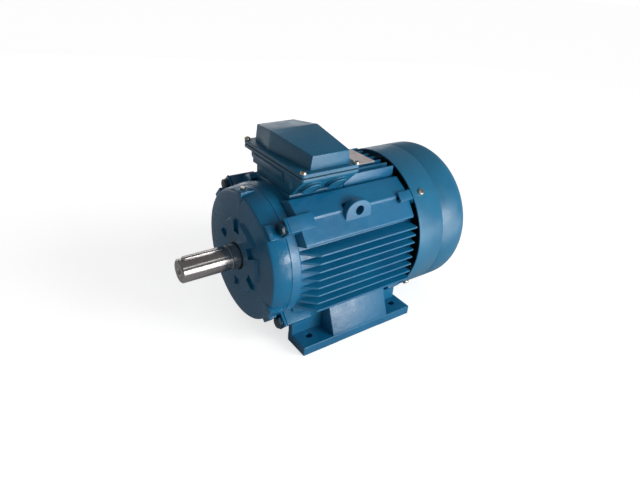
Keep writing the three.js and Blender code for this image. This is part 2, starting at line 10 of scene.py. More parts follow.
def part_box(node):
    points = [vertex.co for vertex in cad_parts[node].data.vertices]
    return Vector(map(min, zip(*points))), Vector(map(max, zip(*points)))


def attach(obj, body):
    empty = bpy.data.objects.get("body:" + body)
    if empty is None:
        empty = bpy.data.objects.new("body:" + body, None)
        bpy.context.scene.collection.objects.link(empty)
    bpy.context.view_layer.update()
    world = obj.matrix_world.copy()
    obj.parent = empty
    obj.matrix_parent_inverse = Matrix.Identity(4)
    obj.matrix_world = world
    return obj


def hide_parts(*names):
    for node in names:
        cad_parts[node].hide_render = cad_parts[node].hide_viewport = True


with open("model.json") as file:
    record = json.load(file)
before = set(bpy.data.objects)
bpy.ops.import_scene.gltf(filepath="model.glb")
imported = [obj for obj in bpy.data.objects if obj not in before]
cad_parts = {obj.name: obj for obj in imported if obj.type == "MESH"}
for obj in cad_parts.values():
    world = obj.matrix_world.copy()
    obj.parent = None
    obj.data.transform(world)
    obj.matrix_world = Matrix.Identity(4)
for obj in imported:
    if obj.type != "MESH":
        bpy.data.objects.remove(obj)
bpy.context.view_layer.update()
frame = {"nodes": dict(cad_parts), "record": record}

# Shapes are in millimetres. The stage, the camera, the lights and the bumps are in metres.
MM = 0.001
SHAFT_Z = 132.0
ROUND_STEPS = 96


def node_box(node):
    """A node's lowest and highest corners, in millimetres."""
    low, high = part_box(node)
    return [value / MM for value in low], [value / MM for value in high]


# ---- Camera, light and stage ---------------------------------------------
CAMERA_PLACE = (-0.4767, -0.6477, 0.5648)
CAMERA_TARGET = (0.0091, 0.0, 0.1170)
CAMERA_ROLL = 4.09
CAMERA_LENS = 29.4
SENSOR_WIDTH = 36.0
# Each broad light: name, direction that it comes from, spread in degrees, and strength.
SUNS = [
    ("near_sun", (0.62, -0.72, 0.40), 30.0, 1.75),
    ("far_sun", (0.12, 0.95, 0.17), 60.0, 1.3),
]
WORLD_STRENGTH = 0.18
BACKGROUND_WHITE = 1.0
BACKDROP_RADIUS = 12.0
FLOOR_HALF = 60.0
FLOOR_GREY = 0.58
FLOOR_GLOW = 0.70
BOUNCE_DEPTH = 0.0005
# Each softbox: name, place, the point it faces, width and height, and brightness.
SOFTBOXES = [
    ("near_wall", (0.75, -2.1, 0.45), (0.0, 0.0, 0.15), (2.3, 0.75), 2.2),
    ("rim_card", (0.30, -1.45, 0.36), (-0.05, -0.10, 0.18), (1.00, 0.26), 10.0),
    ("floor_bounce", (0.50, -0.80, 0.01), (0.50, -0.80, 1.0), (1.2, 0.8), 2.4),
    ("shaft_strip", (0.15, -0.85, 1.00), (-0.21, 0.0, 0.13), (0.55, 0.14), 1.6),
    ("far_strip", (0.35, 1.50, 1.00), (-0.20, 0.0, 0.13), (0.90, 0.30), 1.4),
    ("far_wall", (0.85, 2.1, 0.35), (0.0, 0.0, 0.15), (2.0, 0.60), 1.2),
    ("low_card", (-0.62, 1.08, 0.06), (-0.08, 0.05, 0.30), (0.40, 0.30), 1.6),
]


def make_camera():
    data = bpy.data.cameras.new("camera")
    data.lens = CAMERA_LENS
    data.sensor_width = SENSOR_WIDTH
    camera = bpy.data.objects.new("camera", data)
    bpy.context.scene.collection.objects.link(camera)
    away = (Vector(CAMERA_PLACE) - Vector(CAMERA_TARGET)).normalized()
    turn = away.to_track_quat("Z", "Y").to_matrix().to_4x4()
    roll = Matrix.Rotation(math.radians(CAMERA_ROLL), 4, "Z")
    camera.matrix_world = Matrix.Translation(CAMERA_PLACE) @ turn @ roll
    bpy.context.scene.camera = camera


def area_light(name, place, target, size, radiance):
    """A soft rectangular light of an even brightness, which the camera doesn't see."""
    data = bpy.data.lights.new(name, "AREA")
    data.shape = "RECTANGLE"
    data.size, data.size_y = size
    data.energy = math.pi * radiance * size[0] * size[1]
    light = bpy.data.objects.new(name, data)
    bpy.context.scene.collection.objects.link(light)
    light.visible_camera = False
    aim = (Vector(place) - Vector(target)).to_track_quat("Z", "Y")
    light.matrix_world = Matrix.Translation(place) @ aim.to_matrix().to_4x4()


def broad_light(name, direction, spread, strength):
    """A distant light that shades matt surfaces and doesn't show as a spot in glossy ones."""
    data = bpy.data.lights.new(name, "SUN")
    data.energy = strength
    data.angle = math.radians(spread)
    light = bpy.data.objects.new(name, data)
    bpy.context.scene.collection.objects.link(light)
    light.visible_glossy = False
    light.matrix_world = Vector(direction).to_track_quat("Z", "Y").to_matrix().to_4x4()


def make_lights():
    for sun in SUNS:
        broad_light(*sun)
    for softbox in SOFTBOXES:
        area_light(*softbox)
    world = bpy.data.worlds.new("studio")
    bpy.context.scene.world = world
    world.use_nodes = True
    background = world.node_tree.nodes["Background"]
    background.inputs["Color"].default_value = (1.0, 1.0, 1.0, 1.0)
    background.inputs["Strength"].default_value = WORLD_STRENGTH
    bpy.context.scene.view_settings.view_transform = "Standard"


def stage_piece(mesh, grey, glow, seen):
    """A matt stage surface: one that only the camera sees, or one that only bounces light."""
    material = bpy.data.materials.new(mesh.name)
    material.use_nodes = True
    material.cycles.emission_sampling = "NONE"
    shader = material.node_tree.nodes["Principled BSDF"]
    shader.inputs["Base Color"].default_value = (grey, grey, grey, 1.0)
    shader.inputs["Roughness"].default_value = 1.0
    shader.inputs["Specular IOR Level"].default_value = 0.0
    shader.inputs["Emission Color"].default_value = (1.0, 1.0, 1.0, 1.0)
    shader.inputs["Emission Strength"].default_value = glow
    mesh.materials.append(material)
    piece = bpy.data.objects.new(mesh.name, mesh)
    bpy.context.scene.collection.objects.link(piece)
    piece.visible_camera = seen
    piece.visible_diffuse = not seen
    piece.visible_glossy = not seen
    piece.visible_transmission = not seen
    piece.visible_shadow = not seen


def floor_mesh(name, height):
    mesh = bpy.data.meshes.new(name)
    corners = [(-FLOOR_HALF, -FLOOR_HALF, height), (FLOOR_HALF, -FLOOR_HALF, height),
               (FLOOR_HALF, FLOOR_HALF, height), (-FLOOR_HALF, FLOOR_HALF, height)]
    mesh.from_pydata(corners, [], [(0, 1, 2, 3)])
    return mesh


def make_stage():
    """A pale floor, the surface just under it that bounces light, and a white backdrop all round."""
    stage_piece(floor_mesh("floor", 0.0), FLOOR_GREY, FLOOR_GLOW, True)
    stage_piece(floor_mesh("floor_bounce_sheet", -BOUNCE_DEPTH), FLOOR_GREY, 0.0, False)
    backdrop = bpy.data.meshes.new("backdrop")
    work = bmesh.new()
    bmesh.ops.create_icosphere(work, subdivisions=3, radius=BACKDROP_RADIUS)
    work.to_mesh(backdrop)
    work.free()
    stage_piece(backdrop, 0.0, BACKGROUND_WHITE, True)


# ---- Materials -----------------------------------------------------------
DEEP_BLUE = (0.001, 0.098, 0.215)
LIGHT_BLUE = (0.003, 0.128, 0.262)
DUSTY_BLUE = (0.10, 0.24, 0.34)
NO_DUST = (0.0, 0.0, 0.0)
FULL_DUST = (0.22, 0.22, 0.22)
# The two bumps of each kind of paint, fine then broad: noise scale, noise detail and height in metres.
CAST_BUMPS = [(420.0, 4.0, 0.00016), (95.0, 3.0, 0.0004)]
SHEET_BUMPS = [(650.0, 2.0, 0.00003), (30.0, 2.0, 0.0003)]


class Finish:
    """One procedural material: a principled shader and the nodes that feed it."""

    def __init__(self, name, roughness, metallic=0.0):
        self.material = bpy.data.materials.new(name)
        self.material.use_nodes = True
        self.tree = self.material.node_tree
        self.shader = self.tree.nodes["Principled BSDF"]
        self.set("Roughness", roughness)
        self.set("Metallic", metallic)
        self.place = self.tree.nodes.new("ShaderNodeTexCoord").outputs["Object"]
        self.height = None

    def set(self, socket, value):
        self.shader.inputs[socket].default_value = value

    def link(self, source, target):
        self.tree.links.new(source, target)

    def noise(self, scale, detail=3.0, stretch=None):
        node = self.tree.nodes.new("ShaderNodeTexNoise")
        node.inputs["Scale"].default_value = scale
        node.inputs["Detail"].default_value = detail
        if stretch is None:
            self.link(self.place, node.inputs["Vector"])
        else:
            mapping = self.tree.nodes.new("ShaderNodeMapping")
            mapping.inputs["Scale"].default_value = stretch
            self.link(self.place, mapping.inputs["Vector"])
            self.link(mapping.outputs["Vector"], node.inputs["Vector"])
        return node.outputs["Fac"]

    def ramp(self, source, stops):
        node = self.tree.nodes.new("ShaderNodeValToRGB")
        ramp = node.color_ramp
        while len(ramp.elements) < len(stops):
            ramp.elements.new(0.5)
        for element, (position, colour) in zip(ramp.elements, stops):
            element.position = position
            element.color = (*colour, 1.0)
        self.link(source, node.inputs["Fac"])
        return node.outputs["Color"]

    def range(self, source, low, high):
        node = self.tree.nodes.new("ShaderNodeMapRange")
        node.inputs["From Min"].default_value = 0.3
        node.inputs["From Max"].default_value = 0.7
        node.inputs["To Min"].default_value = low
        node.inputs["To Max"].default_value = high
        self.link(source, node.inputs["Value"])
        return node.outputs["Result"]

    def mix(self, amount, first, second):
        node = self.tree.nodes.new("ShaderNodeMix")
        node.data_type = "RGBA"
        self.link(amount, node.inputs["Factor"])
        self.link(first, node.inputs["A"])
        self.link(second, node.inputs["B"])
        return node.outputs["Result"]

    def colour(self, source):
        self.link(source, self.shader.inputs["Base Color"])

    def rough(self, source):
        self.link(source, self.shader.inputs["Roughness"])

    def bump(self, source, distance):
        node = self.tree.nodes.new("ShaderNodeBump")
        node.inputs["Strength"].default_value = 1.0
        node.inputs["Distance"].default_value = distance
        self.link(source, node.inputs["Height"])
        if self.height is not None:
            self.link(self.height, node.inputs["Normal"])
        self.height = node.outputs["Normal"]
        self.link(self.height, self.shader.inputs["Normal"])


def enamel(name, deep, light, roughness, cast, specular=0.6):
    """Blue machine enamel: over rough cast metal, or smooth over sheet metal."""
    paint = Finish(name, roughness)
    patches = paint.ramp(paint.noise(scale=14.0, detail=4.0), [(0.32, deep), (0.68, light)])
    dust = paint.ramp(paint.noise(scale=260.0, detail=5.0), [(0.60, NO_DUST), (0.88, FULL_DUST)])
    pale = paint.ramp(paint.noise(scale=40.0, detail=2.0), [(0.0, light), (1.0, DUSTY_BLUE)])
    paint.colour(paint.mix(dust, patches, pale))
    paint.rough(paint.range(paint.noise(scale=55.0, detail=3.0), roughness - 0.06, roughness + 0.08))
    paint.set("Specular IOR Level", specular)
    grain, waves = CAST_BUMPS if cast else SHEET_BUMPS
    for scale, detail, height in (grain, waves):
        paint.bump(paint.noise(scale, detail), height)
    return paint.material


def turned_steel(name, dark, light, roughness, stretch, groove):
    """Steel with fine tool marks, stretched around or along its axis."""
    steel = Finish(name, roughness, 1.0)
    marks = steel.noise(40.0, 6.0, stretch)
    steel.colour(steel.ramp(marks, [(0.3, dark), (0.7, light)]))
    steel.rough(steel.range(steel.noise(90.0, 4.0), roughness - 0.05, roughness + 0.1))
    steel.bump(marks, groove)
    return steel.material


def mottled(name, dark, light, roughness, metallic, scale, bump):
    """A plain finish whose colour, gloss and surface vary a little from place to place."""
    finish = Finish(name, roughness, metallic)
    finish.colour(finish.ramp(finish.noise(scale, 4.0), [(0.3, dark), (0.7, light)]))
    finish.rough(finish.range(finish.noise(scale * 2.0, 3.0), roughness - 0.06, roughness + 0.08))
    finish.bump(finish.noise(scale * 6.0, 3.0), bump)
    return finish.material


def layered(name, dark, light, roughness, metallic, axis, scale, bump):
    """Thin layers stacked along an axis: laminations, or wires laid side by side."""
    finish = Finish(name, roughness, metallic)
    wave = finish.tree.nodes.new("ShaderNodeTexWave")
    wave.bands_direction = axis
    wave.inputs["Scale"].default_value = scale
    wave.inputs["Distortion"].default_value = 1.5
    finish.link(finish.place, wave.inputs["Vector"])
    finish.colour(finish.ramp(wave.outputs["Fac"], [(0.2, dark), (0.8, light)]))
    finish.rough(finish.range(finish.noise(80.0, 3.0), roughness - 0.05, roughness + 0.1))
    finish.bump(wave.outputs["Fac"], bump)
    return finish.material


finishes = {
    "frame_paint": enamel("frame_paint", DEEP_BLUE, LIGHT_BLUE, roughness=0.36, cast=True, specular=0.85),
    "endshield_paint": enamel("endshield_paint", DEEP_BLUE, LIGHT_BLUE,
                              roughness=0.20, cast=True, specular=0.60),
    "box_paint": enamel("box_paint", (0.006, 0.100, 0.195), (0.012, 0.128, 0.235),
                        roughness=0.34, cast=True),
    "cover_paint": enamel("cover_paint", (0.004, 0.105, 0.205), (0.008, 0.132, 0.250),
                          roughness=0.36, cast=False, specular=0.85),
    "bolt_paint": mottled("bolt_paint", (0.003, 0.022, 0.045), (0.008, 0.050, 0.090),
                          roughness=0.30, metallic=0.0, scale=160.0, bump=0.00008),
    "zinc_steel": mottled("zinc_steel", (0.50, 0.44, 0.30), (0.80, 0.77, 0.68),
                          roughness=0.28, metallic=1.0, scale=160.0, bump=0.00005),
    "shaft_steel": turned_steel("shaft_steel", (0.40, 0.375, 0.37), (0.56, 0.54, 0.53),
                                roughness=0.15, stretch=(60.0, 0.6, 0.6), groove=0.000004),
    "bearing_steel": mottled("bearing_steel", (0.50, 0.50, 0.50), (0.68, 0.68, 0.68),
                             roughness=0.18, metallic=1.0, scale=90.0, bump=0.00001),
    "spring_steel": mottled("spring_steel", (0.06, 0.06, 0.065), (0.13, 0.13, 0.14),
                            roughness=0.45, metallic=1.0, scale=120.0, bump=0.00003),
    "core_steel": layered("core_steel", (0.10, 0.10, 0.11), (0.30, 0.31, 0.32),
                          roughness=0.5, metallic=1.0, axis="X", scale=620.0, bump=0.0002),
    "cast_aluminium": mottled("cast_aluminium", (0.42, 0.43, 0.44), (0.62, 0.63, 0.64),
                              roughness=0.5, metallic=1.0, scale=70.0, bump=0.0002),
    "winding": layered("winding", (0.16, 0.045, 0.015), (0.50, 0.19, 0.07),
                       roughness=0.4, metallic=0.6, axis="DIAGONAL", scale=320.0, bump=0.0006),
    "rubber": mottled("rubber", (0.010, 0.010, 0.010), (0.028, 0.028, 0.028),
                      roughness=0.78, metallic=0.0, scale=120.0, bump=0.0001),
    "fan_plastic": mottled("fan_plastic", (0.016, 0.019, 0.022), (0.035, 0.040, 0.045),
                           roughness=0.5, metallic=0.0, scale=100.0, bump=0.0001),
    "board_plastic": mottled("board_plastic", (0.018, 0.020, 0.022), (0.04, 0.045, 0.05),
                             roughness=0.5, metallic=0.0, scale=140.0, bump=0.0001),
    "brass": mottled("brass", (0.46, 0.30, 0.09), (0.74, 0.55, 0.24),
                     roughness=0.3, metallic=1.0, scale=150.0, bump=0.00003),
    "nameplate_metal": mottled("nameplate_metal", (0.60, 0.52, 0.51), (0.78, 0.70, 0.69),
                               roughness=0.34, metallic=0.25, scale=90.0, bump=0.00002),
}


# ---- Mesh tools ----------------------------------------------------------
def mesh_object(name, vertices, faces):
    """Vertices in millimetres; faces turned to point outwards."""
    mesh = bpy.data.meshes.new(name)
    mesh.from_pydata([Vector(v) * MM for v in vertices], [], faces)
    work = bmesh.new()
    work.from_mesh(mesh)
    bmesh.ops.remove_doubles(work, verts=work.verts, dist=1e-7)
    bmesh.ops.recalc_face_normals(work, faces=work.faces)
    work.to_mesh(mesh)
    work.free()
    piece = bpy.data.objects.new(name, mesh)
    bpy.context.scene.collection.objects.link(piece)
    return piece


def bake(piece):
    """Applies a piece's modifiers to its mesh."""
    bpy.context.view_layer.update()
    graph = bpy.context.evaluated_depsgraph_get()
    mesh = bpy.data.meshes.new_from_object(piece.evaluated_get(graph))
    old = piece.data
    piece.modifiers.clear()
    piece.data = mesh
    bpy.data.meshes.remove(old)
    return piece


def rounded(piece, width, steps=2, angle=28.0):
    bevel = piece.modifiers.new("round", "BEVEL")
    bevel.width = width * MM
    bevel.segments = steps
    bevel.limit_method = "ANGLE"
    bevel.angle_limit = math.radians(angle)
    bevel.use_clamp_overlap = True
    return bake(piece)


def boolean(piece, others, operation):
    for other in others:
        step = piece.modifiers.new("boolean", "BOOLEAN")
        step.operation = operation
        step.solver = "MANIFOLD"
        step.object = other
        bake(piece)
        bpy.data.objects.remove(other, do_unlink=True)
    return piece


def join(piece, *others):
    return boolean(piece, others, "UNION")


def cut(piece, *others):
    return boolean(piece, others, "DIFFERENCE")


def smooth(piece, angle=32.0):
    piece.data.shade_smooth()
    piece.data.set_sharp_from_angle(angle=math.radians(angle))
    return piece


def prism_faces(count):
    """The two ends and the sides of a prism whose outline has count points."""
    ends = [tuple(range(count)), tuple(range(2 * count - 1, count - 1, -1))]
    return ends + [(i, (i + 1) % count, count + (i + 1) % count, count + i) for i in range(count)]


def prism(name, outline, axis, low, high):
    """An outline extruded along an axis: (y, z), (x, z) or (x, y) points for X, Y or Z."""
    place = {
        "X": lambda a, b, along: (along, a, b),
        "Y": lambda a, b, along: (a, along, b),
        "Z": lambda a, b, along: (a, b, along),
    }[axis]
    vertices = [place(a, b, low) for a, b in outline] + [place(a, b, high) for a, b in outline]
    return mesh_object(name, vertices, prism_faces(len(outline)))


def block(name, x0, x1, y0, y1, z0, z1):
    return prism(name, [(x0, y0), (x1, y0), (x1, y1), (x0, y1)], "Z", z0, z1)


def turned(name, profile, centre=(0.0, SHAFT_Z), steps=ROUND_STEPS, closed=True):
    """A profile of (x, radius) points turned about an axis along X. An open profile ends on the axis."""
    vertices = []
    faces = []
    count = len(profile)
    for step in range(steps):
        angle = 2.0 * math.pi * step / steps
        for x, radius in profile:
            vertices.append((x, centre[0] + radius * math.cos(angle), centre[1] + radius * math.sin(angle)))
    for step in range(steps):
        here = step * count
        there = ((step + 1) % steps) * count
        for i in range(count if closed else count - 1):
            after = (i + 1) % count
            faces.append((here + i, here + after, there + after, there + i))
    piece = mesh_object(name, vertices, faces)
    work = bmesh.new()
    work.from_mesh(piece.data)
    bmesh.ops.dissolve_degenerate(work, edges=work.edges, dist=1e-7)
    bmesh.ops.recalc_face_normals(work, faces=work.faces)
    work.to_mesh(piece.data)
    work.free()
    return piece


def rod(name, start, axis, length, radius, steps=32, edge=0.0):
    """A round bar from a point along an axis, with chamfered ends when edge is given."""
    profile = [(0.0, 0.0), (0.0, radius - edge), (edge, radius), (length - edge, radius),
               (length, radius - edge), (length, 0.0)]
    if edge == 0.0:
        profile = [(0.0, 0.0), (0.0, radius), (length, radius), (length, 0.0)]
    piece = turned(name, profile, (0.0, 0.0), steps, closed=False)
    turn = Vector((1.0, 0.0, 0.0)).rotation_difference(Vector(axis)).to_matrix().to_4x4()
    piece.data.transform(Matrix.Translation(Vector(start) * MM) @ turn)
    return piece


def around(piece, degrees):
    """Turns a piece about the shaft's axis, from the +Y side."""
    centre = Matrix.Translation((0.0, 0.0, SHAFT_Z * MM))
    piece.data.transform(centre @ Matrix.Rotation(math.radians(degrees), 4, "X") @ centre.inverted())
    return piece


def radial_block(name, x0, x1, r0, r1, width, degrees, edge=1.5):
    piece = block(name, x0, x1, r0, r1, SHAFT_Z - width / 2, SHAFT_Z + width / 2)
    return around(rounded(piece, edge), degrees)


def arc(centre, radius, start, end, steps):
    """Points on an arc, angles in degrees."""
    points = []
    for i in range(steps + 1):
        angle = math.radians(start + (end - start) * i / steps)
        points.append((centre[0] + radius * math.cos(angle), centre[1] + radius * math.sin(angle)))
    return points


def finish_piece(piece, slot, body, *nodes):
    """Gives a piece its material and body, and hides the CAD nodes that it stands for."""
    piece.data.materials.clear()
    piece.data.materials.append(finishes[slot])
    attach(piece, body)
    if nodes:
        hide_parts(*nodes)
    return piece


BOLT_ANGLE = 43.0
FRONT_BOLT_OUT = 122.0
REAR_BOLT_OUT = 109.5
BOLT_TURNS = [BOLT_ANGLE, 180.0 - BOLT_ANGLE, 180.0 + BOLT_ANGLE, 360.0 - BOLT_ANGLE]


# ---- Stator frame --------------------------------------------------------
FRAME_FRONT = -120.0
FRAME_REAR = 118.0
FRAME_RIM = 112
BARREL = 110.0
BORE = 101.0
FIN_FRONT = -104.0
FIN_KINK = -79.5
FIN_REAR = 115.0
FIN_ROOT = 92.0
FIN_REACH = 125.0
FIN_PITCH = 14.2
LOWEST_FIN = 74.5
SIDE_FINS = 8
UPRIGHT_FIN_PITCH = 16.0
TOP_FINS = 7
TOP_FIN_ROOT = 225.0
TOP_FIN_TIP = 256.5
BOTTOM_FINS = 8
BOTTOM_FIN_ROOT = 44.0
BOTTOM_FIN_TIP = 9.0
BOX_FRONT = -91.0
BOX_REAR = 10.0
BOX_NECK = 50
PAD_BOTTOM = 216
PAD_TOP = 243.5
FOOT_FRONT = -105.3
FOOT_REAR = 120.3
FOOT_INNER = 82.7
FOOT_OUTER = 131.5
FOOT_TOP = 16.5
FOOT_HOLE_XS = (-81.0, 97.0)
FOOT_HOLE_OUT = 108.0
FOOT_HOLE_RADIUS = 6.0
LIFT_X = 6.0
LIFT_Z = 220.0
LIFT_HOLE_RADIUS = 8.0
LIFT_LUG_X = 5.0
LIFT_LUG_Z = 216.0
LIFT_LUG_RADIUS = 25.0
LIFT_LUG_CREST = 0.84
LUG_EDGE = 1.2
FRONT_LUG_REAR = -75.3
FRONT_LUG_ROOT = 100
FRONT_LUG_OUT = 132
FRONT_LUG_WIDTH = 24
REAR_LUG_FRONT = 91
REAR_LUG_ROOT = 98
REAR_LUG_OUT = 133
REAR_LUG_WIDTH = 17
# Each bolt hole in the frame's lugs: where it starts, how far out it is, its length and its radius.
LUG_HOLES = [
    (FRAME_FRONT - 1, FRONT_BOLT_OUT, 28, 6.3),
    (96, REAR_BOLT_OUT, 24, 5.3),
    (REAR_LUG_FRONT - 1, 127.5, 16, 3.6),
]


def tapered_fin(name, outline, root, tip, root_half, tip_half, place):
    """A cast fin: an outline of (along, out) points, thinner towards its tip."""
    def half(out):
        share = (abs(out) - root) / (tip - root)
        return root_half + (tip_half - root_half) * share

    vertices = [place(a, o, -half(o)) for a, o in outline] + [place(a, o, half(o)) for a, o in outline]
    return rounded(mesh_object(name, vertices, prism_faces(len(outline))), 1.2, 2)


def side_fin(side, height):
    surface = math.sqrt(BARREL ** 2 - (height - SHAFT_Z) ** 2)
    outline = [(FIN_FRONT, side * FIN_ROOT), (FIN_FRONT, side * (surface - 0.7)),
               (FIN_KINK, side * FIN_REACH), (FIN_REAR, side * FIN_REACH), (FIN_REAR, side * FIN_ROOT)]
    return tapered_fin("fin", outline, FIN_ROOT, FIN_REACH, 3.2, 1.7, lambda a, o, t: (a, o, height + t))


def upright_fin(y, front, root, tip):
    outline = [(front, root), (front, tip), (FIN_REAR, tip), (FIN_REAR, root)]
    return tapered_fin("fin", outline, root, tip, 2.4, 1.6, lambda a, o, t: (a, y + t, o))


def upright_fins(count, front, root, tip):
    """A row of upright fins, evenly spaced about the middle plane."""
    middle = (count - 1) / 2
    return [upright_fin((i - middle) * UPRIGHT_FIN_PITCH, front, root, tip) for i in range(count)]


def frame_foot(side):
    """One foot: its plate, the wall up to the barrel and the sloping web, with both bolt holes."""
    y0, y1 = sorted((side * FOOT_INNER, side * FOOT_OUTER))
    plate = rounded(block("foot", FOOT_FRONT, FOOT_REAR, y0, y1, 0.0, FOOT_TOP), 1.6, 3)
    y0, y1 = sorted((side * FOOT_INNER, side * 94.0))
    wall = rounded(block("foot_wall", -105.0, FIN_REAR, y0, y1, 10.0, 82.0), 2.0, 2)
    outline = [(side * y, z) for y, z in ((FOOT_OUTER, 3.0), (FOOT_OUTER, 13.0), (131.0, FOOT_TOP),
                                          (129.6, 20.5), (112.0, 66.0), (92.0, 72.0), (88.0, 3.0))]
    web = rounded(prism("foot_web", outline, "X", -47.5, 68.0), 2.0, 2)
    foot = join(plate, wall, web)
    relief = block("relief", -37.0, 52.0, *sorted((side * 81.0, side * 133.0)), -1.0, 1.5)
    holes = [rod("hole", (x, side * FOOT_HOLE_OUT, -2.0), (0, 0, 1), 22.0, FOOT_HOLE_RADIUS)
             for x in FOOT_HOLE_XS]
    return cut(foot, relief, *holes)


def corner_panel(side):
    """The sloping panel along an upper corner of the frame, cut back by a cone at its front end."""
    outline = [(48, 236), (60, 241.5), (83, 227.5), (91, 222.5), (92, 218.5),
               (113, 190.5), (113, 187), (90, 182), (60, 220)]
    panel = prism("panel", [(side * y, z) for y, z in outline], "X", FIN_FRONT, FIN_REAR)
    rounded(panel, 1.0, 2, 12.0)
    clear = 150
    nose = turned("nose", [(FIN_FRONT - 1, BARREL - 0.8), (FIN_FRONT + 8, BARREL + 24),
                           (FIN_FRONT + 8, clear), (FIN_FRONT - 1, clear)])
    return cut(panel, nose)


def lifting_lug(side):
    """A flattened round lug that stands on the corner panel."""
    crest = arc((LIFT_LUG_X, LIFT_LUG_Z), LIFT_LUG_RADIUS, 180.0, 0.0, 20)
    outline = [(LIFT_LUG_X - LIFT_LUG_RADIUS, 200.0)] + crest + [(LIFT_LUG_X + LIFT_LUG_RADIUS, 200.0)]
    outline = [(x, LIFT_LUG_Z + (z - LIFT_LUG_Z) * LIFT_LUG_CREST if z > LIFT_LUG_Z else z)
               for x, z in outline]
    return rounded(prism("lug", outline, "Y", *sorted((side * 88.0, side * 101.0))), 1.6, 3)


def lifting_eye(side):
    """The hole through a lifting lug, with the pocket behind it."""
    y0, y1 = sorted((side * 80.0, side * 104.0))
    hole = rod("eye", (LIFT_X, y0, LIFT_Z), (0, 1, 0), y1 - y0, LIFT_HOLE_RADIUS)
    pocket = block("pocket", -18.0, 28.0, *sorted((side * 82.0, side * 88.3)), 209.0, 245.0)
    return join(hole, pocket)


def build_frame():
    barrel = turned("frame_casting", [
        (FRAME_FRONT, 0), (FRAME_FRONT, 111.2), (FRAME_FRONT + 0.8, FRAME_RIM), (FIN_FRONT - 1, FRAME_RIM),
        (FIN_FRONT + 1.5, BARREL), (FRAME_REAR - 1, BARREL), (FRAME_REAR, BARREL - 1), (FRAME_REAR, 0),
    ], closed=False)
    parts = [side_fin(side, LOWEST_FIN + i * FIN_PITCH) for side in (-1, 1) for i in range(SIDE_FINS)]
    parts += upright_fins(TOP_FINS, BOX_REAR + 1, TOP_FIN_ROOT, TOP_FIN_TIP)
    parts += upright_fins(BOTTOM_FINS, FIN_FRONT, BOTTOM_FIN_ROOT, BOTTOM_FIN_TIP)
    parts += [rounded(block("pad", BOX_FRONT, BOX_REAR, -BOX_NECK, BOX_NECK, PAD_BOTTOM, PAD_TOP), 1.0)]
    parts += [radial_block("lug", FRAME_FRONT, FRONT_LUG_REAR, FRONT_LUG_ROOT, FRONT_LUG_OUT,
                           FRONT_LUG_WIDTH, turn, LUG_EDGE) for turn in BOLT_TURNS]
    parts += [radial_block("lug", REAR_LUG_FRONT, FRAME_REAR, REAR_LUG_ROOT, REAR_LUG_OUT,
                           REAR_LUG_WIDTH, turn, LUG_EDGE) for turn in BOLT_TURNS]
    for side in (-1, 1):
        parts += [corner_panel(side), frame_foot(side), lifting_lug(side)]
    frame_piece = join(barrel, *parts)
    tools = [turned("bore", [(FRAME_FRONT - 5, 0), (FRAME_FRONT - 5, BORE), (FRAME_REAR + 5, BORE),
                             (FRAME_REAR + 5, 0)], closed=False)]
    tools += [lifting_eye(side) for side in (-1, 1)]
    for turn in BOLT_TURNS:
        for x, out, length, radius in LUG_HOLES:
            tools.append(around(rod("hole", (x, out, SHAFT_Z), (1, 0, 0), length, radius), turn))
    cut(frame_piece, *tools)
    finish_piece(smooth(frame_piece), "frame_paint", "frame", "stator_frame")


# ---- Endshields ----------------------------------------------------------
HUB_FACE = -154.4
SHIELD_FACE = -149.5
HUB_RADIUS = 61.5
HUB_CORE_RADIUS = 41.5
SEAL_RADIUS = 22.4
LUG_FRONT = -125.0
SPIGOT_RADIUS = 100.7
SPIGOT_BORE = 95.0
BEARING_SEAT = 40.3
SHIELD_LUG_ROOT = 104
DRIVE_LUG_OUT = 133
COVER_LUG_OUT = 127.4
COVER_LUG_WIDTH = 16
COVER_SCREW_X = 140
GREASE_PLUG_X = -141
GREASE_PLUG_Y = 2


def hub_notch(turn):
    """A notch in the hub's raised ring, closed by the round core and open outwards."""
    half = 8.5
    inner = arc((0.0, SHAFT_Z), HUB_CORE_RADIUS, -11.5, 11.5, 6)
    outline = inner + [(HUB_RADIUS + 1.5, SHAFT_Z + half + 0.8), (HUB_RADIUS + 1.5, SHAFT_Z - half - 0.8)]
    return around(prism("notch", outline, "X", HUB_FACE - 1, SHIELD_FACE - 0.4), turn)


def rim_boss(turn):
    """A boss that crosses the rim and runs down the face to a point, with sloping sides."""
    outline = [(86.0, SHAFT_Z - 1.5), (100.0, SHAFT_Z - 11.0), (112.5, SHAFT_Z - 11.0),
               (112.5, SHAFT_Z + 11.0), (100.0, SHAFT_Z + 11.0), (86.0, SHAFT_Z + 1.5)]
    boss = prism("rim_boss", outline, "X", SHIELD_FACE - 1.5, -128.0)
    for vertex in boss.data.vertices:
        out = vertex.co.y / MM
        if vertex.co.x / MM < SHIELD_FACE and out < 90.0:
            vertex.co.x = (SHIELD_FACE + 0.4) * MM
    return around(rounded(boss, 1.0, 2), turn)


